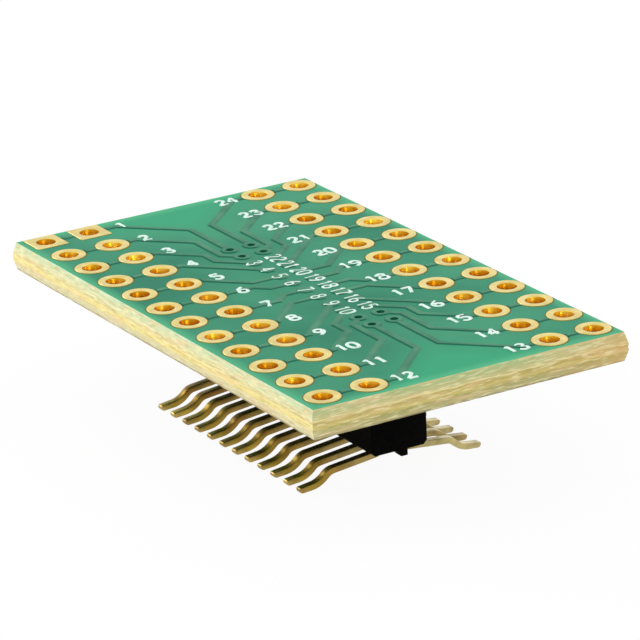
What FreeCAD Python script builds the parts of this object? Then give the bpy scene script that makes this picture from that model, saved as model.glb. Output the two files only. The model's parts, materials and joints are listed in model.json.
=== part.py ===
import FreeCAD, Part
import math
import os

# A 24-way adapter for programming chips: a small green circuit board with two 24-hole patterns, carried on
# a two-row header whose 24 formed contacts end in gull-wing feet for a wide surface-mount footprint.
# Millimetres, +Z up. The origin is on the seating plane of the feet, below the middle of the board's
# outline. Pins 1 to 12 run down the left side from +Y to -Y, and pins 13 to 24 back up the right side.

Vector = FreeCAD.Vector

# Pin pattern of the board
rows = 12
pitch = 2.54
inner_row_spacing = 10.16
outer_row_spacing = 15.24

# Board outline, and the scored line that it was snapped along
board_width = outer_row_spacing + pitch
board_length = rows * pitch
board_thick = 1.50
score_depth = 0.55
score_inset = 0.18
grid_shift_x = 0.15
grid_shift_y = 0.13

# Plated holes. Lands and bores have flats, because there are so many of them. Only the bores in the four
# outer corners are true cylinders: mating pins are gauged from those
bore_dia = 1.00
bore_corner_count = 12
land_ring = 0.39
land_dia = bore_dia + 2 * land_ring
land_proud = 0.04
land_corner_count = 16

# Tracks under the mask, one half of one side: where each leaves its land's row, and where three of them
# run along the board. The other halves mirror these
track_width = 0.45
track_proud = 0.03
tented_land_dia = 0.95
tented_land_corner_count = 8
track_leaves_at = (3.50, 3.70, 3.90, 3.81, 4.10, 2.54)
track_runs_at = (0.635, 1.42, 2.08)

# Header body, which sits a little off the pin pattern's middle
header_shift_x = 0.06
contact_pitch = pitch / 2
post_spacing = contact_pitch
body_width = 3.20
body_past_contacts = 0.38
body_length = rows * contact_pitch + 2 * body_past_contacts
body_height = 4.92
body_chamfer = 0.20
standoff_height = 0.25
standoff_length = 0.35
body_over_contacts = 0.095
slot_clearance = 0.01
nub_depth = 0.34
nub_flat = 0.37
nub_length = 0.50
nub_offset = 0.10

# Formed contact: a flat strip bent below the body, sloping out to a knee, then down to a heel and along
strip_width = 0.42
strip_thick = 0.33
toe_to_toe = 10.48
toe_thick = 0.20
knee_spacing = 7.04
knee_height = 0.783
run_slope = 6.0
ramp_slope = 43.0
post_bend = 0.16
knee_radius = 0.50
heel_radius = 0.50
toe_slant = 0.08

# Solder under the board
solder_height = 0.12
solder_spread = 0.16

# Places worked out from the sizes above
pins = 2 * rows
post_x = post_spacing / 2
knee_x = knee_spacing / 2
toe_x = toe_to_toe / 2
slope = math.tan(math.radians(run_slope))
run_height_at_post = knee_height + (knee_x - post_x) * slope
run_top_at_post = run_height_at_post + strip_thick / 2 * (1 / math.cos(math.radians(run_slope)) - slope)
body_bottom = run_top_at_post + body_over_contacts
board_bottom = body_bottom + body_height
board_top = board_bottom + board_thick
post_top = board_bottom - solder_height
pattern_place = Vector(grid_shift_x, grid_shift_y, 0)
header_place = pattern_place + Vector(header_shift_x, 0, 0)


def side_and_row(pin):
    """-1 and the row for a pin on the left, +1 and the row for one on the right; row 0 is at +Y."""
    return (-1, pin - 1) if pin <= rows else (1, 2 * rows - pin)


def row_y(row, spacing):
    """Place of a row along Y, from the middle of the pattern."""
    return ((rows - 1) / 2 - row) * spacing


def prism(outline, bottom, height):
    """A flat outline, given as (x, y) corners, raised from one level by a height."""
    corners = [Vector(x, y, bottom) for x, y in outline]
    return Part.Face(Part.makePolygon(corners + corners[:1])).extrude(Vector(0, 0, height))


def regular_outline(x, y, across_flats, corners):
    """Corners of a regular polygon with a flat towards each axis."""
    reach = across_flats / 2 / math.cos(math.pi / corners)
    turns = [2 * math.pi * (i + 0.5) / corners for i in range(corners)]
    return [(x + reach * math.cos(turn), y + reach * math.sin(turn)) for turn in turns]


def rectangle(x, y, width, length):
    """Corners of a rectangle about a point."""
    return [(x + i * width / 2, y + j * length / 2) for i, j in ((-1, -1), (1, -1), (1, 1), (-1, 1))]


def tapered_block(x, y, levels):
    """A block about a point whose width and length change with height, from (z, width, length) levels."""
    width = max(level[1] for level in levels)
    length = max(level[2] for level in levels)
    across = [Vector(-w / 2, -length / 2, z) for z, w, _ in levels]
    across += [Vector(w / 2, -length / 2, z) for z, w, _ in levels[::-1]]
    along = [Vector(-width / 2, -v / 2, z) for z, _, v in levels]
    along += [Vector(-width / 2, v / 2, z) for z, _, v in levels[::-1]]
    block = Part.Face(Part.makePolygon(across + across[:1])).extrude(Vector(0, length, 0))
    block = block.common(Part.Face(Part.makePolygon(along + along[:1])).extrude(Vector(width, 0, 0)))
    block.translate(Vector(x, y, 0))
    return block


def offset_path(path, distance):
    """A path of (u, v) points moved sideways to its left, with mitred corners."""
    moved = []
    for i, (u, v) in enumerate(path):
        before = unit(path[max(i - 1, 0)], path[max(i, 1)])
        after = unit(path[min(i, len(path) - 2)], path[min(i + 1, len(path) - 1)])
        spread = 1 + before[0] * after[0] + before[1] * after[1]
        moved.append((u - distance * (before[1] + after[1]) / spread,
                      v + distance * (before[0] + after[0]) / spread))
    return moved


def unit(start, end):
    """Unit direction from one (u, v) point to another."""
    du, dv = end[0] - start[0], end[1] - start[1]
    return du / math.hypot(du, dv), dv / math.hypot(du, dv)


def rounded_outline(corners):
    """A closed wire in the XZ plane from (x, z, radius) corners, with a tangent arc at each rounded one."""
    edges, starts, ends = [], [], []
    for i, (x, z, radius) in enumerate(corners):
        here = Vector(x, 0, z)
        back = (Vector(corners[i - 1][0], 0, corners[i - 1][1]) - here).normalize()
        ahead_corner = corners[(i + 1) % len(corners)]
        ahead = (Vector(ahead_corner[0], 0, ahead_corner[1]) - here).normalize()
        half = back.getAngle(ahead) / 2
        run_in = radius / math.tan(half)
        starts.append(here + back * run_in)
        ends.append(here + ahead * run_in)
        if radius:
            middle = here + (back + ahead).normalize() * (radius / math.sin(half) - radius)
            edges.append(Part.Arc(starts[-1], middle, ends[-1]).toShape())
    edges += [Part.makeLine(ends[i - 1], starts[i]) for i in range(len(corners))]
    return Part.Wire(Part.__sortEdges__(edges))


def land_outline(pin, spacing):
    """Outline of one land: square at pin 1, round elsewhere."""
    side, row = side_and_row(pin)
    x, y = side * spacing / 2, row_y(row, pitch)
    if pin == 1:
        return rectangle(x, y, land_dia, land_dia)
    return regular_outline(x, y, land_dia, land_corner_count)


def placed(shape, place=pattern_place):
    """The shape moved from the pin pattern's own middle to where the pattern, or the header, lies."""
    shape.translate(place)
    return shape


def make_board():
    """Laminate with a groove all round each face, holed for the plated holes."""
    levels = ((board_bottom, score_inset), (board_bottom + score_depth, 0),
              (board_top - score_depth, 0), (board_top, score_inset))
    blank = tapered_block(0, 0, [(z, board_width - 2 * inset, board_length - 2 * inset)
                                 for z, inset in levels])
    holes = [placed(prism(land_outline(pin, spacing), board_bottom, board_thick))
             for pin in range(1, pins + 1) for spacing in (inner_row_spacing, outer_row_spacing)]
    return blank.cut(Part.makeCompound(holes))


def make_plated_hole(pin, spacing):
    """One sleeve through the board, as wide as its land and just proud of both faces."""
    side, row = side_and_row(pin)
    x, y = side * spacing / 2, row_y(row, pitch)
    bottom = board_bottom - land_proud
    height = board_thick + 2 * land_proud
    if spacing == outer_row_spacing and row in (0, rows - 1):
        bore = Part.makeCylinder(bore_dia / 2, height, Vector(x, y, bottom))
    else:
        bore = prism(regular_outline(x, y, bore_dia, bore_corner_count), bottom, height)
    return placed(prism(land_outline(pin, spacing), bottom, height).cut(bore))


def track_path(row):
    """Middle line of a track on the +X side in the +Y half, from its outer land to that over its post."""
    land_y, post_y = row_y(row, pitch), row_y(row, contact_pitch)
    leave_x = track_leaves_at[row]
    path = [(outer_row_spacing / 2, land_y), (leave_x, land_y)]
    if row < len(track_runs_at):
        run_x = track_runs_at[row]
        path += [(run_x, land_y - (leave_x - run_x)), (run_x, post_y + run_x - post_x)]
    else:
        path.append((leave_x - (land_y - post_y), post_y))
    if math.dist(path[-1], (post_x, post_y)) > track_width / 2:
        path.append((post_x, post_y))
    return path


def make_track(pin):
    """Link and track of one pin, trimmed where its two lands stand."""
    side, row = side_and_row(pin)
    end = 1 if row < rows / 2 else -1
    path = [(side * x, end * y) for x, y in track_path(row if end > 0 else rows - 1 - row)]
    strip = offset_path(path, track_width / 2) + offset_path(path, -track_width / 2)[::-1]
    tented = regular_outline(side * post_x, row_y(row, contact_pitch),
                             tented_land_dia, tented_land_corner_count)
    track = prism(strip, board_top, track_proud).fuse(prism(tented, board_top, track_proud)).removeSplitter()
    lands = [prism(land_outline(pin, spacing), board_top, track_proud)
             for spacing in (inner_row_spacing, outer_row_spacing)]
    return placed(track.cut(Part.makeCompound(lands)))


def make_contact(pin):
    """One formed strip: post, bend, sloping run, knee, ramp, heel and a toe that thins towards its end."""
    side, row = side_and_row(pin)
    heel_x = knee_x + (knee_height - strip_thick / 2) / math.tan(math.radians(ramp_slope))
    middle = [(post_x, post_top), (post_x, run_height_at_post + post_bend),
              (post_x + post_bend, run_height_at_post - post_bend * slope), (knee_x, knee_height),
              (heel_x, strip_thick / 2), (toe_x, strip_thick / 2)]
    upper = offset_path(middle, strip_thick / 2)
    lower = offset_path(middle, -strip_thick / 2)
    upper[-1] = (toe_x, toe_thick)
    lower[-1] = (toe_x - toe_slant, 0)
    upper_radii = (0, 0, 0, knee_radius + strip_thick, heel_radius, 0)
    lower_radii = (0, 0, 0, knee_radius, heel_radius + strip_thick, 0)
    corners = [(*point, radius) for point, radius in zip(lower, lower_radii)]
    corners += [(*point, radius) for point, radius in zip(upper, upper_radii)][::-1]
    strip = Part.Face(rounded_outline(corners)).extrude(Vector(0, strip_width, 0))
    strip.translate(Vector(0, -strip_width / 2, 0))
    if side < 0:
        strip.rotate(Vector(0, 0, 0), Vector(0, 0, 1), 180)
    strip.translate(Vector(0, row_y(row, contact_pitch), 0))
    return placed(strip, header_place)


def make_header_body():
    """Moulded block with a slot for each post, standoffs at its ends and a nub under its near end."""
    block = tapered_block(0, 0, [(body_bottom, body_width - 2 * body_chamfer, body_length),
                                 (body_bottom + body_chamfer, body_width, body_length),
                                 (board_bottom, body_width, body_length)])
    relief = rectangle(0, 0, body_width, body_length - 2 * standoff_length)
    block = block.cut(prism(relief, board_bottom - standoff_height, standoff_height))
    slots = []
    for pin in range(1, pins + 1):
        side, row = side_and_row(pin)
        slot = rectangle(side * post_x, row_y(row, contact_pitch),
                         strip_thick + 2 * slot_clearance, strip_width + 2 * slot_clearance)
        slots.append(prism(slot, body_bottom, body_height))
    block = block.cut(Part.makeCompound(slots))
    near = -body_length / 2
    nub_corners = [Vector(x, near, z) for x, z in (
        (nub_offset - nub_depth, body_bottom), (nub_offset, body_bottom - nub_depth),
        (nub_offset + nub_flat, body_bottom - nub_depth), (nub_offset + nub_flat, body_bottom))]
    nub = Part.Face(Part.makePolygon(nub_corners + nub_corners[:1])).extrude(Vector(0, nub_length, 0))
    return placed(block.fuse(nub).removeSplitter(), header_place)


def make_solder_joint(pin):
    """Solder between the end of a post and the board, spreading as it meets the board."""
    side, row = side_and_row(pin)
    levels = [(z, strip_thick + 2 * spread, strip_width + 2 * spread)
              for z, spread in ((post_top, 0), (board_bottom, solder_spread))]
    return placed(tapered_block(side * post_x, row_y(row, contact_pitch), levels), header_place)


def save(shape, node):
    """Writes one node."""
    shape.exportStep(f"parts/{node}.step")


os.makedirs("parts", exist_ok=True)
save(make_board(), "board")
save(make_header_body(), "header_body")
save(Part.makeCompound([make_track(pin) for pin in range(1, rows + 1)]), "tracks_left")
save(Part.makeCompound([make_track(pin) for pin in range(rows + 1, pins + 1)]), "tracks_right")
save(Part.makeCompound([make_solder_joint(pin) for pin in range(1, pins + 1)]), "solder_joints")
for pin in range(1, pins + 1):
    sleeves = [make_plated_hole(pin, spacing) for spacing in (inner_row_spacing, outer_row_spacing)]
    save(Part.makeCompound(sleeves), f"plated_holes_{pin:02d}")
    save(make_contact(pin), f"contact_{pin:02d}")
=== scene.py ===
import json
import math

import bpy
from mathutils import Matrix, Vector

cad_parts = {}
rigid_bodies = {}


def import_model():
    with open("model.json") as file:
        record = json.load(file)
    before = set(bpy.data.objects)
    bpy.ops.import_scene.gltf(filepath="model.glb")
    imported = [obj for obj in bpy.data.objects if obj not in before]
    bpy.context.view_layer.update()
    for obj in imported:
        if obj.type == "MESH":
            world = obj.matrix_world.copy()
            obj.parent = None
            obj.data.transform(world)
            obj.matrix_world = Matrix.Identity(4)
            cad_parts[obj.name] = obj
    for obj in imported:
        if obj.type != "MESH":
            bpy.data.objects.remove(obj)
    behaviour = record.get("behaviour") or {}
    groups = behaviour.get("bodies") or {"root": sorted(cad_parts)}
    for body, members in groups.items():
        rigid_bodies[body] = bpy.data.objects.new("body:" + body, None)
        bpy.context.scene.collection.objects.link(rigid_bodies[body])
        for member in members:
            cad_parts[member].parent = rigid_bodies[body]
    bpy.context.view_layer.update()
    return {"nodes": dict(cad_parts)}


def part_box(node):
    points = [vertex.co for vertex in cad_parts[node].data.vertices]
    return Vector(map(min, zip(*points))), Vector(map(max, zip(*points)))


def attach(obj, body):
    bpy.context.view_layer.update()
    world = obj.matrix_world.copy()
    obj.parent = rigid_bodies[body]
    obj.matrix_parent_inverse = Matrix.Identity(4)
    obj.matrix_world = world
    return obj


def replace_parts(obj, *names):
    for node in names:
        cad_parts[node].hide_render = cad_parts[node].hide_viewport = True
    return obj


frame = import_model()
for unused in [o for o in bpy.data.objects if o.name in {"Camera", "Cube", "Light"}]:
    bpy.data.objects.remove(unused)

# The bare circuit board: woven glass and epoxy, 1.5 mm thick, with cured green mask printed on
# both faces. It was scored along a V on each face and snapped out of a larger panel, which leaves
# a torn web along each edge. Its holes are drilled a little wider than their plating.
mm = 0.001
board_low, board_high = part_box("board")
board_size = board_high - board_low
score_depth = 0.55 * mm
score_inset = 0.18 * mm
web_low, web_high = board_low.z + score_depth, board_high.z - score_depth
web_cuts = 4
torn_by = 0.030 * mm
edge_cuts_along_length = 95
edge_cuts_along_width = 55
edge_band = 0.2 * mm
long_edge = 1 * mm
near_enough = 0.01 * mm
pitch = 2.54 * mm
rows = 12
half_the_rows = (rows - 1) / 2
hole_columns = (-7.62 * mm, -5.08 * mm, 5.08 * mm, 7.62 * mm)
land_radius = 0.89 * mm
first_land_low, first_land_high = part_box("plated_holes_01")
grid_middle = Vector((first_land_low.x + land_radius - hole_columns[0],
                      first_land_high.y - land_radius - half_the_rows * pitch, 0))
drilled_radius = 0.54 * mm
drill_flats = 32


def srgb(red, green, blue):
    """A colour as read from a screen, 0 to 255, for a shader's colour socket."""
    parts = [v / 255 for v in (red, green, blue)]
    return (*(v / 12.92 if v <= 0.04045 else ((v + 0.055) / 1.055) ** 2.4 for v in parts), 1)


def only(obj):
    """Makes one object the only one selected, and active."""
    bpy.ops.object.select_all(action="DESELECT")
    obj.select_set(True)
    bpy.context.view_layer.objects.active = obj
    return obj


def pick(obj, wanted, kind="EDGE"):
    """In edit mode, selects the vertices, edges or faces for which wanted(element) holds."""
    bpy.ops.mesh.select_all(action="DESELECT")
    bpy.ops.mesh.select_mode(type=kind)
    bpy.ops.object.mode_set(mode="OBJECT")
    mesh = obj.data
    for element in {"VERT": mesh.vertices, "EDGE": mesh.edges, "FACE": mesh.polygons}[kind]:
        element.select = wanted(element)
    bpy.ops.object.mode_set(mode="EDIT")


def ends(obj, edge):
    """The two end points of an edge."""
    return [obj.data.vertices[i].co for i in edge.vertices]


def copy_at(original, name, place, turned=0):
    """A copy with its own mesh, turned about the Z axis and then moved, both in the mesh itself."""
    made = original.copy()
    made.name = name
    made.data = original.data.copy()
    made.data.transform(Matrix.Translation(place) @ Matrix.Rotation(turned, 4, "Z"))
    bpy.context.collection.objects.link(made)
    return made


def join(name, parts):
    """Several objects joined as one."""
    bpy.ops.object.select_all(action="DESELECT")
    for part in parts:
        part.select_set(True)
    bpy.context.view_layer.objects.active = parts[0]
    bpy.ops.object.join()
    parts[0].name = name
    return parts[0]


bpy.ops.mesh.primitive_cube_add(size=1, location=(board_low + board_high) / 2, scale=board_size)
board = only(bpy.context.object)
board.name = "circuit_board"
bpy.ops.object.transform_apply(location=True, rotation=False, scale=True)
bpy.ops.object.mode_set(mode="EDIT")
for cut_z in (web_low, web_high):
    bpy.ops.mesh.select_all(action="SELECT")
    bpy.ops.mesh.bisect(plane_co=(0, 0, cut_z), plane_no=(0, 0, 1))
for face_z in (board_low.z, board_high.z):
    pick(board, lambda v: abs(v.co.z - face_z) < near_enough, "VERT")
    bpy.ops.transform.resize(value=(1 - 2 * score_inset / board_size.x,
                                    1 - 2 * score_inset / board_size.y, 1))
for axis, cuts in ((0, edge_cuts_along_length), (1, edge_cuts_along_width)):
    for near in (-board_size[axis] / 2, board_size[axis] / 2):
        pick(board, lambda e: all(abs(p[axis] - near) < edge_band for p in ends(board, e))
             and abs(ends(board, e)[0][1 - axis] - ends(board, e)[1][1 - axis]) > long_edge)
        bpy.ops.mesh.subdivide(number_cuts=cuts)
pick(board, lambda e: abs(abs(ends(board, e)[0].z - ends(board, e)[1].z) - (web_high - web_low))
     < near_enough)
bpy.ops.mesh.subdivide(number_cuts=web_cuts)
pick(board, lambda v: web_low - near_enough < v.co.z < web_high + near_enough, "VERT")
bpy.ops.transform.resize(value=(1 - 2 * torn_by / board_size.x, 1 - 2 * torn_by / board_size.y, 1))
bpy.ops.transform.vertex_random(offset=torn_by, uniform=1, normal=0, seed=7)
bpy.ops.object.mode_set(mode="OBJECT")

bpy.ops.mesh.primitive_cylinder_add(vertices=drill_flats, radius=drilled_radius,
                                    depth=3 * board_size.z)
drill = only(bpy.context.object)
drill.location = (hole_columns[0] + grid_middle.x, grid_middle.y - half_the_rows * pitch,
                  (board_low.z + board_high.z) / 2)
bpy.ops.object.transform_apply(location=True, rotation=False, scale=False)
down_the_board = drill.modifiers.new("rows", "ARRAY")
down_the_board.count = rows
down_the_board.use_relative_offset = False
down_the_board.use_constant_offset = True
down_the_board.constant_offset_displace = (0, pitch, 0)
bpy.ops.object.modifier_apply(modifier="rows")
join("drills", [drill] + [copy_at(drill, "drills_of_a_column", (column - hole_columns[0], 0, 0))
                          for column in hole_columns[1:]])
only(board)
holes = board.modifiers.new("holes", "BOOLEAN")
holes.operation = "DIFFERENCE"
holes.solver = "EXACT"
holes.object = drill
bpy.ops.object.modifier_apply(modifier="holes")
bpy.data.objects.remove(drill)
bpy.ops.object.shade_smooth_by_angle(angle=math.radians(30))

mask_green = srgb(60, 145, 111)
mask_deep = srgb(38, 122, 94)
mask_lit_through_edge = srgb(84, 180, 132)
mask_open = srgb(50, 156, 114)
mask_round_land = srgb(104, 104, 44)
fan_slope = 0.8
open_from, open_to = 9 * mm, 12.5 * mm
edge_light_reach = 0.9 * mm
bare_ring = 0.07 * mm
lands_from = 3.9 * mm
ring_share = 0.8
along_fibres, along_flecks = (1, 1, 12), (1, 1, 8)
ragged_by = 0.24
warm_from_x, warm_to_x = 4 * mm, 9 * mm


def make_material(name):
    """A new material with one Principled shader, and that shader."""
    material = bpy.data.materials.new(name)
    material.use_nodes = True
    return material, material.node_tree.nodes["Principled BSDF"]


def node(tree, kind, inputs=None, **settings):
    """A shader node with its settings, whose inputs are values or other nodes' outputs."""
    made = tree.nodes.new(kind)
    for key, value in settings.items():
        setattr(made, key, value)
    for socket, value in (inputs or {}).items():
        if isinstance(value, bpy.types.NodeSocket):
            tree.links.new(value, made.inputs[socket])
        else:
            made.inputs[socket].default_value = value
    return made


def calc(tree, operation, first, second=0.5):
    """One step of arithmetic on values."""
    return node(tree, "ShaderNodeMath", {0: first, 1: second}, operation=operation).outputs[0]


def spread(tree, value, low, high, at_low=0, at_high=1):
    """A value that goes from at_low to at_high while the given one goes from low to high."""
    inputs = {0: value, 1: low, 2: high, 3: at_low, 4: at_high}
    return node(tree, "ShaderNodeMapRange", inputs).outputs[0]


def noise(tree, place, fineness, detail, roughness=0.5):
    """The noise texture's value."""
    inputs = {"Vector": place, "Scale": fineness, "Detail": detail, "Roughness": roughness}
    return node(tree, "ShaderNodeTexNoise", inputs).outputs[0]


def ramp(tree, factor, stops):
    """A colour ramp from (place, colour) stops."""
    made = node(tree, "ShaderNodeValToRGB", {"Fac": factor})
    while len(made.color_ramp.elements) < len(stops):
        made.color_ramp.elements.new(0.5)
    for element, (place, colour) in zip(made.color_ramp.elements, stops):
        element.position = place
        element.color = colour
    return made.outputs["Color"]


def blend_colours(tree, factor, first, second, mode="MIX"):
    """Two colours mixed by a factor."""
    inputs = {0: factor, 6: first, 7: second}
    return node(tree, "ShaderNodeMix", inputs, data_type="RGBA", blend_type=mode).outputs[2]


def place_on(tree):
    """The object coordinates, on which every texture is laid."""
    return node(tree, "ShaderNodeTexCoord").outputs["Object"]


def facing(tree):
    """The X, Y and Z parts of the way a face looks."""
    normal = node(tree, "ShaderNodeNewGeometry").outputs["True Normal"]
    return node(tree, "ShaderNodeSeparateXYZ", {0: normal}).outputs


def make_mottle():
    """A node group that mottles between two colours, which most of the materials share."""
    group = bpy.data.node_groups.new("mottle", "ShaderNodeTree")
    for name, kind in (("Place", "Vector"), ("Fineness", "Float"), ("Dark", "Color"),
                       ("Light", "Color")):
        group.interface.new_socket(name, in_out="INPUT", socket_type=f"NodeSocket{kind}")
    group.interface.new_socket("Colour", in_out="OUTPUT", socket_type="NodeSocketColor")
    given = group.nodes.new("NodeGroupInput").outputs
    share = spread(group, noise(group, given["Place"], given["Fineness"], 3), 0.35, 0.65)
    colour = blend_colours(group, share, given["Dark"], given["Light"])
    node(group, "NodeGroupOutput", {"Colour": colour})
    return group


def mottled(tree, fineness, dark, light):
    """The mottle group's colour, for a material."""
    inputs = {"Place": place_on(tree), "Fineness": fineness, "Dark": dark, "Light": light}
    return node(tree, "ShaderNodeGroup", inputs, node_tree=mottle).outputs["Colour"]


mottle = make_mottle()
mask_and_edge, board_shader = make_material("mask_and_snapped_edge")
tree = mask_and_edge.node_tree
place = place_on(tree)
x, y, z = node(tree, "ShaderNodeSeparateXYZ", {0: place}).outputs
_, along, up = facing(tree)

mask_colour = mottled(tree, 120, mask_deep, mask_green)
from_side, from_middle = calc(tree, "ABSOLUTE", x), calc(tree, "ABSOLUTE", y)
past_tracks = calc(tree, "SUBTRACT", from_middle, calc(tree, "MULTIPLY", from_side, fan_slope))
open_end = spread(tree, past_tracks, open_from, open_to)
mask_colour = blend_colours(tree, open_end, mask_colour, mask_open)
to_side_edge = calc(tree, "SUBTRACT", board_size.x / 2, from_side)
to_end_edge = calc(tree, "SUBTRACT", board_size.y / 2, from_middle)
to_edge = calc(tree, "MINIMUM", to_side_edge, to_end_edge)
# Painted light: the mask turns a lighter green in a band along the board's edges, where light comes
# in through the laminate's edge.
edge_light_share = spread(tree, to_edge, score_inset, edge_light_reach, 0.75, 0)
mask_colour = blend_colours(tree, edge_light_share, mask_colour, mask_lit_through_edge)
cells = node(tree, "ShaderNodeMapping", {
    "Vector": place, "Scale": (1 / pitch, 1 / pitch, 0),
    "Location": (0.5 - grid_middle.x / pitch, -grid_middle.y / pitch, 0.5)}).outputs[0]
in_cell = node(tree, "ShaderNodeVectorMath", {0: cells}, operation="FRACTION").outputs[0]
from_centre = node(tree, "ShaderNodeVectorMath", {0: in_cell, 1: (0.5, 0.5, 0.5)},
                   operation="DISTANCE").outputs[1]
in_ring = calc(tree, "LESS_THAN", from_centre, (land_radius + bare_ring) / pitch)
by_lands = calc(tree, "MULTIPLY", in_ring, calc(tree, "GREATER_THAN", from_side, lands_from))
mask_colour = blend_colours(tree, calc(tree, "MULTIPLY", by_lands, ring_share), mask_colour,
                            mask_round_land)

depth = calc(tree, "DIVIDE", calc(tree, "SUBTRACT", board_high.z, z), board_size.z)
fibre_place = node(tree, "ShaderNodeMapping", {0: place, "Scale": along_fibres}).outputs[0]
fleck_place = node(tree, "ShaderNodeMapping", {0: place, "Scale": along_flecks}).outputs[0]
fibres = noise(tree, fibre_place, 800, 5, 0.65)
flecks = noise(tree, fleck_place, 1500, 4)
blotches = noise(tree, fleck_place, 500, 3)
wander = calc(tree, "MULTIPLY", calc(tree, "SUBTRACT", blotches, 0.5), ragged_by)
layers = calc(tree, "ADD", depth, wander)
# Bands down the edge's depth: the laminate's own layers and the pale web, with painted shade just
# under each score step and a painted shadow line along the bottom. The end edges take a darker copy
# of the same bands, painted shade for the edges that face away from the light.
side_edge = ramp(tree, layers, (
    (0, srgb(200, 224, 192)), (0.10, srgb(203, 215, 172)), (0.32, srgb(226, 221, 172)),
    (0.37, srgb(211, 199, 140)), (0.45, srgb(238, 224, 153)), (0.60, srgb(236, 219, 142)),
    (0.70, srgb(223, 213, 165)), (0.90, srgb(215, 209, 172)), (1, srgb(140, 129, 94))))
shaded_end_edge = ramp(tree, layers, (
    (0, srgb(168, 194, 138)), (0.10, srgb(176, 190, 136)), (0.33, srgb(203, 194, 140)),
    (0.37, srgb(235, 221, 156)), (0.43, srgb(182, 166, 98)), (0.58, srgb(211, 194, 118)),
    (0.70, srgb(165, 162, 98)), (0.90, srgb(188, 181, 134)), (1, srgb(115, 107, 72))))
is_end = calc(tree, "GREATER_THAN", calc(tree, "ABSOLUTE", along), 0.5)
# A warmer tint on the end edges that grows towards +X.
warm_toward_plus_x = calc(tree, "MULTIPLY", spread(tree, x, warm_from_x, warm_to_x, 0, 0.6), is_end)
edge_colour = blend_colours(tree, is_end, side_edge, shaded_end_edge)
for share, tint in ((warm_toward_plus_x, srgb(222, 176, 112)),
                    (spread(tree, fibres, 0.38, 0.52, 0.55, 0), srgb(188, 170, 110)),
                    (spread(tree, blotches, 0.52, 0.66, 0, 0.45), srgb(234, 198, 150)),
                    (spread(tree, flecks, 0.50, 0.66, 0, 0.5), srgb(248, 240, 192))):
    edge_colour = blend_colours(tree, share, edge_colour, tint)

is_face = calc(tree, "GREATER_THAN", calc(tree, "ABSOLUTE", up), 0.8)
board_colour = blend_colours(tree, is_face, edge_colour, mask_colour)
weave = calc(tree, "MULTIPLY", noise(tree, place, 2500, 2), 0.15)
relief = node(tree, "ShaderNodeBump", {"Height": blend_colours(tree, is_face, fibres, weave),
                                       "Strength": 0.4, "Distance": 0.03 * mm})
tree.links.new(board_colour, board_shader.inputs["Base Color"])
tree.links.new(spread(tree, is_face, 0, 1, 0.7, 0.38), board_shader.inputs["Roughness"])
tree.links.new(relief.outputs[0], board_shader.inputs["Normal"])
board_shader.inputs["Specular IOR Level"].default_value = 0.03
board.data.materials.clear()
board.data.materials.append(mask_and_edge)
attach(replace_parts(board, "board"), "root")

# The plated holes: copper grown through each drilled hole and out over both faces as a land, then
# plated with gold. Each pin has an inner and an outer hole, and pin 1 has square lands.
bore_radius = 0.50 * mm
barrel_radius = 0.535 * mm
land_proud = 0.04 * mm
land_edge = 0.02 * mm
sunk = 0.005 * mm
mouth_round = 0.05 * mm
mouth_middle = 0.3 * mouth_round
bore_gold_to = bore_radius + 0.6 * mouth_round
lathe_turns = 40


def lathe(name, rings, turns, capped):
    """A piece turned about the Z axis from (radius, height) rings, capped or joined end to end."""
    bpy.ops.mesh.primitive_circle_add(vertices=turns, radius=rings[0][0],
                                      location=(0, 0, rings[0][1]),
                                      fill_type="NGON" if capped else "NOTHING")
    made = only(bpy.context.object)
    made.name = name
    bpy.ops.object.transform_apply(location=True, rotation=False, scale=False)
    bpy.ops.object.mode_set(mode="EDIT")
    bpy.ops.mesh.select_all(action="SELECT")
    for (radius, height), (next_radius, next_height) in zip(rings, rings[1:]):
        rise = (0, 0, next_height - height)
        bpy.ops.mesh.extrude_region_move(TRANSFORM_OT_translate={"value": rise})
        wider = next_radius / radius
        bpy.ops.transform.resize(value=(wider, wider, 1), center_override=(0, 0, next_height))
    if not capped:
        bpy.ops.mesh.select_all(action="DESELECT")
        bpy.ops.mesh.select_non_manifold()
        bpy.ops.mesh.bridge_edge_loops()
    bpy.ops.mesh.select_all(action="SELECT")
    bpy.ops.mesh.normals_make_consistent(inside=False)
    bpy.ops.object.mode_set(mode="OBJECT")
    bpy.ops.object.shade_smooth_by_angle(angle=math.radians(35))
    return made


def within(obj, face, radius):
    """Whether a face lies within a radius of the Z axis."""
    return all(math.hypot(*obj.data.vertices[v].co[:2]) < radius for v in face.vertices)


half_land = ((land_radius, -sunk), (land_radius, land_proud - land_edge),
             (land_radius - land_edge, land_proud), (bore_radius + mouth_round, land_proud),
             (bore_radius + mouth_middle, land_proud - mouth_middle),
             (bore_radius, land_proud - mouth_round))
rings = [(radius, board_high.z + rise) for radius, rise in half_land]
rings += [(radius, board_low.z - rise) for radius, rise in half_land[::-1]]
rings += [(barrel_radius, board_low.z + sunk), (barrel_radius, board_high.z - sunk)]
round_hole = lathe("round_hole", rings, lathe_turns, False)
square_hole = copy_at(round_hole, "square_hole", (0, 0, 0))
for vertex in square_hole.data.vertices:
    reach = math.hypot(vertex.co.x, vertex.co.y)
    if reach > land_radius - 2 * land_edge:
        squared = reach / max(abs(vertex.co.x), abs(vertex.co.y))
        vertex.co.x *= squared
        vertex.co.y *= squared

land_gold, land_shader = make_material("gold_on_lands")
tree = land_gold.node_tree
tree.links.new(mottled(tree, 1500, srgb(208, 187, 108), srgb(226, 208, 130)),
               land_shader.inputs["Base Color"])
land_shader.inputs["Metallic"].default_value = 0.35
land_shader.inputs["Roughness"].default_value = 0.42
glinting_bore_gold, bore_shader = make_material("gold_in_bores")
tree = glinting_bore_gold.node_tree
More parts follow.
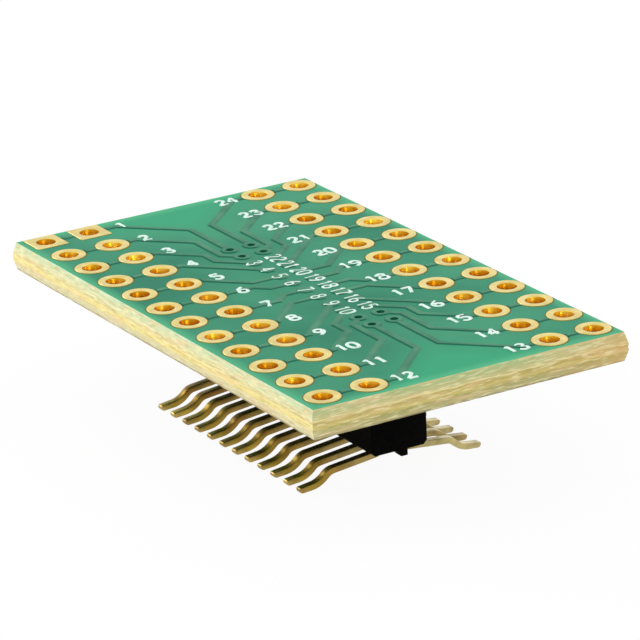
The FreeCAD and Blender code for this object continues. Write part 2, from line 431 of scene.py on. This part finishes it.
# Gold in the bores with painted glints: the noise's upper stops put bright pale-gold spots on the
# walls.
tree.links.new(ramp(tree, noise(tree, place_on(tree), 1100, 0), (
    (0.38, srgb(216, 166, 42)), (0.56, srgb(234, 190, 62)), (0.72, srgb(254, 228, 116)))),
    bore_shader.inputs["Base Color"])
bore_shader.inputs["Metallic"].default_value = 0.85
bore_shader.inputs["Roughness"].default_value = 0.25
for hole in (round_hole, square_hole):
    hole.data.materials.append(land_gold)
    hole.data.materials.append(glinting_bore_gold)
    for face in hole.data.polygons:
        face.material_index = within(hole, face, bore_gold_to)


def side_and_row(pin):
    """-1 and the row for a pin on the left, 1 and the row for one on the right; row 0 is at +Y."""
    return (-1, pin - 1) if pin <= rows else (1, 2 * rows - pin)


def row_place(row, spacing):
    """Place of a row along Y."""
    return grid_middle.y + (half_the_rows - row) * spacing


for pin in range(1, 2 * rows + 1):
    side, row = side_and_row(pin)
    pair = [copy_at(square_hole if pin == 1 else round_hole, f"hole_{pin:02d}",
                    (grid_middle.x + side * column, row_place(row, pitch), 0))
            for column in hole_columns[2:]]
    holes_of_pin = join(f"hole_pair_{pin:02d}", pair)
    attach(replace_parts(holes_of_pin, f"plated_holes_{pin:02d}"), "root")
for original in (round_hole, square_hole):
    bpy.data.objects.remove(original)

# The tracks: copper etched on the upper face, which the mask covers as soft ridges. Each joins its
# pin's two lands to the land over its post, where the mask dips into the hole at the end posts.
slope_width = 0.12 * mm
ridge_height = 0.030 * mm
ridge_foot = 0.003 * mm
post_x = 0.635 * mm
contact_pitch = 1.27 * mm
dipped_rows = (0, 1, rows - 2, rows - 1)
rim_rings = ((0.50, -0.005), (0.49, 0.008), (0.42, 0.034), (0.30, 0.0395), (0.21, 0.037),
             (0.15, 0.035))
rim_turns = 24
dip_radius = 0.22 * mm
merge_within = 0.0005 * mm
shaded_x, shaded_y = -1.6, -1


def merged_copy(node_name, name):
    """A copy of a CAD node with its loose triangles merged and flat ones joined, in edit mode."""
    made = only(copy_at(frame["nodes"][node_name], name, (0, 0, 0)))
    bpy.ops.object.mode_set(mode="EDIT")
    bpy.ops.mesh.select_all(action="SELECT")
    bpy.ops.mesh.remove_doubles(threshold=merge_within)
    bpy.ops.mesh.dissolve_limited(angle_limit=math.radians(1))
    return made


masked_copper, track_shader = make_material("mask_over_copper")
tree = masked_copper.node_tree
across, along, _ = facing(tree)
over_copper = mottled(tree, 700, srgb(60, 122, 96), srgb(78, 138, 108))
# Painted shade: the ridges' slopes that face -X and -Y get a darker green, as if lit from the back
# right.
facing_away = calc(tree, "ADD", calc(tree, "MULTIPLY", across, shaded_x),
                   calc(tree, "MULTIPLY", along, shaded_y))
painted_shade = spread(tree, facing_away, 0.02, 0.3)
tree.links.new(blend_colours(tree, painted_shade, over_copper, srgb(28, 98, 76)),
               track_shader.inputs["Base Color"])
track_shader.inputs["Roughness"].default_value = 0.4
track_shader.inputs["Specular IOR Level"].default_value = 0.03
dipped_mask, dip_shader = make_material("mask_dipped_in_hole")
tree = dipped_mask.node_tree
tree.links.new(mottled(tree, 4000, srgb(6, 58, 42), srgb(12, 76, 56)),
               dip_shader.inputs["Base Color"])
dip_shader.inputs["Roughness"].default_value = 0.4
dip_shader.inputs["Specular IOR Level"].default_value = 0

rim = lathe("rim", [(radius * mm, board_high.z + rise * mm) for radius, rise in rim_rings],
            rim_turns, True)
rim.data.materials.append(masked_copper)
rim.data.materials.append(dipped_mask)
for face in rim.data.polygons:
    face.material_index = within(rim, face, dip_radius)
for side, label in ((-1, "left"), (1, "right")):
    ridges = merged_copy(f"tracks_{label}", f"masked_tracks_{label}")
    pick(ridges, lambda v: v.co.z > board_high.z + ridge_height / 2, "VERT")
    bpy.ops.transform.translate(value=(0, 0, ridge_foot - ridge_height))
    pick(ridges, lambda f: f.normal.z > 0.9, "FACE")
    bpy.ops.mesh.inset(thickness=slope_width, depth=0, use_even_offset=True)
    bpy.ops.transform.translate(value=(0, 0, ridge_height))
    bpy.ops.object.mode_set(mode="OBJECT")
    ridges.data.materials.clear()
    ridges.data.materials.append(masked_copper)
    ridges.data.materials.append(dipped_mask)
    rims = [copy_at(rim, f"rim_{label}_{row}",
                    (grid_middle.x + side * post_x, row_place(row, contact_pitch), 0))
            for row in dipped_rows]
    join(ridges.name, [ridges, *rims])
    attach(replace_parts(ridges, f"tracks_{label}"), "root")
bpy.data.objects.remove(rim)

# The printed numbers: white ink laid on the mask in strokes of one width. Each number beside the
# lands is that of its pin, and the small ones down the middle number the posts below.
ink_top = 0.035 * mm
ink_crown = 0.04
ink_layer = 0.01 * mm
ink_layers = 3
ink_width = 0.20 * mm
glyph_width = 0.62
number_height = 0.78 * mm
number_step = 0.66 * mm
numbers_x = {-1: -3.20 * mm, 1: 3.15 * mm}
post_number_height = 0.80 * mm
post_digit_width = 0.35 * mm
post_number_step = 0.53 * mm
post_number_weight = 0.78
post_numbers_x = 0.64 * mm
strokes_of = {
    "0": [("ROUND", [(0, .5), (.31, 1), (.62, .5), (.31, 0)], True)],
    "1": [("STRAIGHT", [(.14, .78), (.36, 1), (.36, 0)], False)],
    "2": [("ROUND", [(.03, .78), (.31, 1), (.58, .74), (.35, .38)], False),
          ("STRAIGHT", [(.35, .38), (0, 0), (.62, 0)], False)],
    "3": [("ROUND", [(.03, .84), (.31, 1), (.57, .77), (.28, .54)], False),
          ("ROUND", [(.28, .54), (.62, .28), (.31, 0), (0, .18)], False)],
    "4": [("STRAIGHT", [(.45, 0), (.45, 1), (0, .33), (.62, .33)], False)],
    "5": [("STRAIGHT", [(.57, 1), (.08, 1), (.04, .56)], False),
          ("ROUND", [(.04, .56), (.34, .62), (.62, .32), (.30, 0), (0, .14)], False)],
    "6": [("ROUND", [(.50, 1), (.12, .66), (.01, .28), (.31, 0), (.61, .28), (.31, .55),
                     (.04, .36)], False)],
    "7": [("STRAIGHT", [(0, 1), (.62, 1), (.20, 0)], False)],
    "8": [("ROUND", [(.31, .54), (.05, .77), (.31, 1), (.57, .77)], True),
          ("ROUND", [(.31, .54), (0, .27), (.31, 0), (.62, .27)], True)],
    "9": [("ROUND", [(.12, 0), (.50, .34), (.61, .72), (.31, 1), (.01, .72), (.31, .45),
                     (.58, .64)], False)],
}
ink_curve = bpy.data.curves.new("printed_numbers", "CURVE")
ink_curve.dimensions = "3D"
ink_curve.bevel_depth = ink_width / 2
ink_curve.bevel_resolution = 1
ink_curve.resolution_u = 5
ink_curve.use_fill_caps = True


def print_number(text, middle, height, digit_width, step, weight, turned):
    """Adds one number's strokes, centred on a point of the board and turned about the Z axis."""
    turn = Matrix.Rotation(turned, 2)
    start = -(step * (len(text) - 1) + digit_width) / 2
    for i, digit in enumerate(text):
        for kind, points, closed in strokes_of[digit]:
            for run in [points] if kind == "ROUND" else zip(points, points[1:]):
                stroke = ink_curve.splines.new("BEZIER")
                stroke.bezier_points.add(len(run) - 1)
                stroke.use_cyclic_u = closed
                layer = len(ink_curve.splines) % ink_layers * ink_layer
                for point, (u, v) in zip(stroke.bezier_points, run):
                    flat = turn @ Vector((start + i * step + u / glyph_width * digit_width,
                                          (v - 0.5) * height))
                    point.co = (middle[0] + flat.x, middle[1] + flat.y, layer)
                    point.radius = weight
                    point.handle_left_type = point.handle_right_type = "AUTO"


for pin in range(1, 2 * rows + 1):
    side, row = side_and_row(pin)
    print_number(str(pin), (grid_middle.x + numbers_x[side], row_place(row, pitch)),
                 number_height, glyph_width * number_height, number_step, 1, 0)
    if row not in dipped_rows:
        print_number(str(pin), (grid_middle.x + side * post_numbers_x,
                                row_place(row, contact_pitch)),
                     post_number_height, post_digit_width, post_number_step,
                     post_number_weight, -math.pi / 2)
numbers = bpy.data.objects.new("printed_numbers", ink_curve)
bpy.context.collection.objects.link(numbers)
only(numbers)
bpy.ops.object.convert(target="MESH")
numbers = bpy.context.object
for vertex in numbers.data.vertices:
    flattened = max(-ink_top, min(ink_top, vertex.co.z))
    vertex.co.z = board_high.z + flattened + ink_crown * vertex.co.z
bpy.ops.object.shade_smooth_by_angle(angle=math.radians(30))
white_ink, ink_shader = make_material("white_ink")
tree = white_ink.node_tree
tree.links.new(mottled(tree, 3000, srgb(196, 228, 214), srgb(226, 244, 236)),
               ink_shader.inputs["Base Color"])
ink_shader.inputs["Roughness"].default_value = 0.6
numbers.data.materials.clear()
numbers.data.materials.append(white_ink)
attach(numbers, "root")

# The header body: one block moulded in black plastic, chamfered below, with a slot for each post,
# a standoff at each end and a small nub under its near end. It holds the board off the feet.
moulded_round = 0.05 * mm
body = merged_copy("header_body", "moulded_header")
bpy.ops.object.mode_set(mode="OBJECT")
rounding = body.modifiers.new("rounding", "BEVEL")
rounding.width = moulded_round
rounding.segments = 2
rounding.limit_method = "ANGLE"
rounding.angle_limit = math.radians(40)
bpy.ops.object.modifier_apply(modifier="rounding")
bpy.ops.object.shade_smooth_by_angle(angle=math.radians(35))
black_plastic, body_shader = make_material("moulded_black_plastic")
tree = black_plastic.node_tree
tree.links.new(mottled(tree, 5000, srgb(1, 1, 1), srgb(6, 5, 4)),
               body_shader.inputs["Base Color"])
body_shader.inputs["Roughness"].default_value = 0.5
body_shader.inputs["Specular IOR Level"].default_value = 0.02
grained = node(tree, "ShaderNodeBump", {"Height": noise(tree, place_on(tree), 5000, 2),
                                        "Strength": 0.2, "Distance": 0.01 * mm})
tree.links.new(grained.outputs[0], body_shader.inputs["Normal"])
body.data.materials.clear()
body.data.materials.append(black_plastic)
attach(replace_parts(body, "header_body"), "root")

# The contacts: flat strip of copper alloy, plated, with a post up through the body to the board.
# Below the body each is bent outwards, sloped to a knee and bent down in a wide curve to a foot
# that is rounded off at its toe.
strip_width = 0.42 * mm
strip_thick = 0.33 * mm
post_top = board_low.z - 0.12 * mm
knee_x, knee_height, run_slope = 3.52 * mm, 0.783 * mm, math.radians(6)
ramp_slope = math.radians(43)
heel_height = strip_thick / 2 + 0.08 * mm
heel_x = knee_x + (knee_height - heel_height) / math.tan(ramp_slope)
toe_x = 5.24 * mm
toe_thick = 0.29 * mm
run_height = knee_height + (knee_x - post_x) * math.tan(run_slope)
middle_line = [Vector(point) for point in (
    (post_x, 0, post_top), (post_x, 0, run_height), (knee_x, 0, knee_height),
    (heel_x, 0, heel_height), (toe_x, 0, strip_thick / 2))]
bend_radii = (0.22 * mm, 0.70 * mm, 1.35 * mm)
bend_steps = (6, 7, 9)
toe_from = toe_x - 0.03 * mm
toe_lower_edge = 0.05 * mm
toe_upper_edge = toe_thick - 0.02 * mm
toe_lower_round = 0.17 * mm
toe_upper_round = 0.09 * mm
coined_edge = 0.045 * mm
header_shift = 0.06 * mm
light_ramp_reach = 5.3 * mm
bpy.ops.mesh.primitive_plane_add(size=1, location=middle_line[0])
strip = only(bpy.context.object)
strip.name = "formed_strip"
strip.scale = (strip_thick, strip_width, 1)
bpy.ops.object.transform_apply(location=True, rotation=False, scale=True)
bpy.ops.object.mode_set(mode="EDIT")
bpy.ops.mesh.select_all(action="SELECT")
reached = middle_line[0]
for before, corner, after, radius, steps in zip(middle_line, middle_line[1:], middle_line[2:],
                                                bend_radii, bend_steps):
    going, leaving = (corner - before).normalized(), (after - corner).normalized()
    bend_angle = going.angle(leaving)
    bend_start = corner - going * radius * math.tan(bend_angle / 2)
    bpy.ops.mesh.extrude_region_move(TRANSFORM_OT_translate={"value": bend_start - reached})
    bend_axis = going.cross(leaving).normalized()
    bend_centre = bend_start + bend_axis.cross(going) * radius
    bpy.ops.mesh.spin(steps=steps, angle=-bend_angle, center=bend_centre, axis=bend_axis)
    reached = corner + leaving * radius * math.tan(bend_angle / 2)
bpy.ops.mesh.extrude_region_move(TRANSFORM_OT_translate={"value": middle_line[-1] - reached})
bpy.ops.transform.resize(value=(1, 1, toe_thick / strip_thick), center_override=(toe_x, 0, 0))
pick(strip, lambda e: all(p.x > toe_from and p.z < toe_lower_edge for p in ends(strip, e)))
bpy.ops.mesh.bevel(offset=toe_lower_round, segments=4)
pick(strip, lambda e: all(p.x > toe_from and p.z > toe_upper_edge for p in ends(strip, e)))
bpy.ops.mesh.bevel(offset=toe_upper_round, segments=4)
bpy.ops.mesh.select_all(action="SELECT")
bpy.ops.mesh.normals_make_consistent(inside=False)
bpy.ops.object.mode_set(mode="OBJECT")
coining = strip.modifiers.new("coining", "BEVEL")
coining.width = coined_edge
coining.segments = 3
coining.use_clamp_overlap = False
coining.limit_method = "ANGLE"
coining.angle_limit = math.radians(50)
bpy.ops.object.modifier_apply(modifier="coining")
bpy.ops.object.shade_smooth_by_angle(angle=math.radians(40))

plated_strip, strip_shader = make_material("plated_strip")
tree = plated_strip.node_tree
place = place_on(tree)
# Random brown patches, a painted reflection of the neighbouring contacts and the dark body.
brown_reflection_patches = spread(tree, noise(tree, place, 450, 2), 0.5, 0.68, 0, 0.55)
# Painted light and shade: one plating made darker and browner on the left contacts and paler on the
# right ones, across X.
across = node(tree, "ShaderNodeSeparateXYZ", {"Vector": place}).outputs["X"]
across = spread(tree, across, -light_ramp_reach, light_ramp_reach)
lit_and_shaded_plating = ramp(tree, across, (
    (0.0, srgb(204, 180, 112)), (0.09, srgb(180, 152, 60)), (0.2, srgb(160, 127, 58)),
    (0.3, srgb(164, 140, 80)), (0.5, srgb(166, 144, 92)), (0.62, srgb(198, 182, 124)),
    (1.0, srgb(206, 189, 132))))
# Painted reflection: the upward faces of the right contacts turn pale cream, standing in for the
# bright room they reflect.
facing_up_share = spread(tree, calc(tree, "ABSOLUTE", facing(tree)["Z"]), 0.6, 0.9)
right_contacts_share = spread(tree, across, 0.55, 0.62)
lit_and_shaded_plating = blend_colours(tree, calc(tree, "MULTIPLY", facing_up_share, right_contacts_share), lit_and_shaded_plating,
                        srgb(244, 232, 190))
lit_and_shaded_plating = blend_colours(tree, 1, lit_and_shaded_plating, mottled(tree, 1200, srgb(206, 206, 206),
                                                  srgb(255, 255, 255)), "MULTIPLY")
tree.links.new(blend_colours(tree, brown_reflection_patches, lit_and_shaded_plating, srgb(118, 80, 28)),
               strip_shader.inputs["Base Color"])
strip_shader.inputs["Metallic"].default_value = 1
strip_shader.inputs["Roughness"].default_value = 0.42
dented = node(tree, "ShaderNodeBump", {"Height": noise(tree, place, 900, 0), "Strength": 1.0,
                                       "Distance": 0.12 * mm})
tree.links.new(dented.outputs[0], strip_shader.inputs["Normal"])
strip.data.materials.append(plated_strip)
for pin in range(1, 2 * rows + 1):
    side, row = side_and_row(pin)
    contact = copy_at(strip, f"formed_contact_{pin:02d}",
                      (grid_middle.x + header_shift, row_place(row, contact_pitch), 0),
                      0 if side > 0 else math.pi)
    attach(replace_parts(contact, f"contact_{pin:02d}"), "root")
bpy.data.objects.remove(strip)

# The solder joints: dull tin alloy between the end of each post and the underside of the board.
# They are closed in between the board and the body.
solder = frame["nodes"]["solder_joints"]
dull_solder, solder_shader = make_material("dull_solder")
tree = dull_solder.node_tree
tree.links.new(mottled(tree, 4000, srgb(150, 150, 148), srgb(186, 186, 182)),
               solder_shader.inputs["Base Color"])
solder_shader.inputs["Metallic"].default_value = 1
solder_shader.inputs["Roughness"].default_value = 0.5
solder.data.materials.clear()
solder.data.materials.append(dull_solder)

# The camera: at the photograph's own place, with a long lens, found from the centres of the 48
# holes. Its three directions are those of the picture: to the right, down and ahead.
camera_place = Vector((-101.861, -177.381, 79.705)) * mm
camera_right = Vector((0.85780, -0.51236, -0.04084))
camera_down = Vector((-0.20720, -0.27199, -0.93973))
camera_ahead = Vector((0.47037, 0.81456, -0.33947))
camera_data = bpy.data.cameras.new("camera")
camera_data.sensor_width = 36
camera_data.lens = 244
camera_data.clip_start = 0.01
camera_data.clip_end = 20
camera = bpy.data.objects.new("camera", camera_data)
bpy.context.collection.objects.link(camera)
turn = Matrix((camera_right, -camera_down, -camera_ahead)).transposed().to_4x4()
camera.matrix_world = Matrix.Translation(camera_place) @ turn
bpy.context.scene.camera = camera

# The floor and the light: a plain pale floor that keeps the object's shadow, a white room all
# around, and two soft square lamps, a weak one behind on the right and one low on the left that
# puts the sheen on the bends.
floor_grey = (0.9, 0.9, 0.9, 1)
room_white = (1, 1, 1, 1)
floor_whitened = 0.94
bpy.ops.mesh.primitive_plane_add(size=6, location=(0, 0, 0))
floor = only(bpy.context.object)
floor.name = "floor"
floor_material, floor_shader = make_material("pale_floor")
tree = floor_material.node_tree
floor_shader.inputs["Base Color"].default_value = floor_grey
floor_shader.inputs["Roughness"].default_value = 1
seen = node(tree, "ShaderNodeLightPath").outputs
seen_directly = calc(tree, "MAXIMUM", seen["Is Camera Ray"], calc(
    tree, "MAXIMUM", seen["Is Glossy Ray"], seen["Is Transmission Ray"]))
white = node(tree, "ShaderNodeEmission", {"Color": room_white, "Strength": 1.0})
mixed = node(tree, "ShaderNodeMixShader", {
    0: calc(tree, "MULTIPLY", seen_directly, floor_whitened), 1: floor_shader.outputs[0],
    2: white.outputs[0]})
tree.links.new(mixed.outputs[0], tree.nodes["Material Output"].inputs["Surface"])
floor.data.materials.append(floor_material)

world = bpy.context.scene.world or bpy.data.worlds.new("studio")
bpy.context.scene.world = world
world.use_nodes = True
world.node_tree.nodes["Background"].inputs["Color"].default_value = room_white
world.node_tree.nodes["Background"].inputs["Strength"].default_value = 1.0
bpy.context.scene.view_settings.view_transform = "Standard"


def softbox(name, place, size, power):
    """A square soft light turned towards the object."""
    data = bpy.data.lights.new(name, "AREA")
    data.size = size
    data.energy = power
    lamp = bpy.data.objects.new(name, data)
    bpy.context.collection.objects.link(lamp)
    lamp.location = place
    lamp.rotation_mode = "QUATERNION"
    lamp.rotation_quaternion = (-Vector(place)).to_track_quat("-Z", "Y")


softbox("key", place=(0.25, 0.30, 0.35), size=0.25, power=0.1)
softbox("low_left", place=(-0.176, 0.312, 0.148), size=0.12, power=0.55)
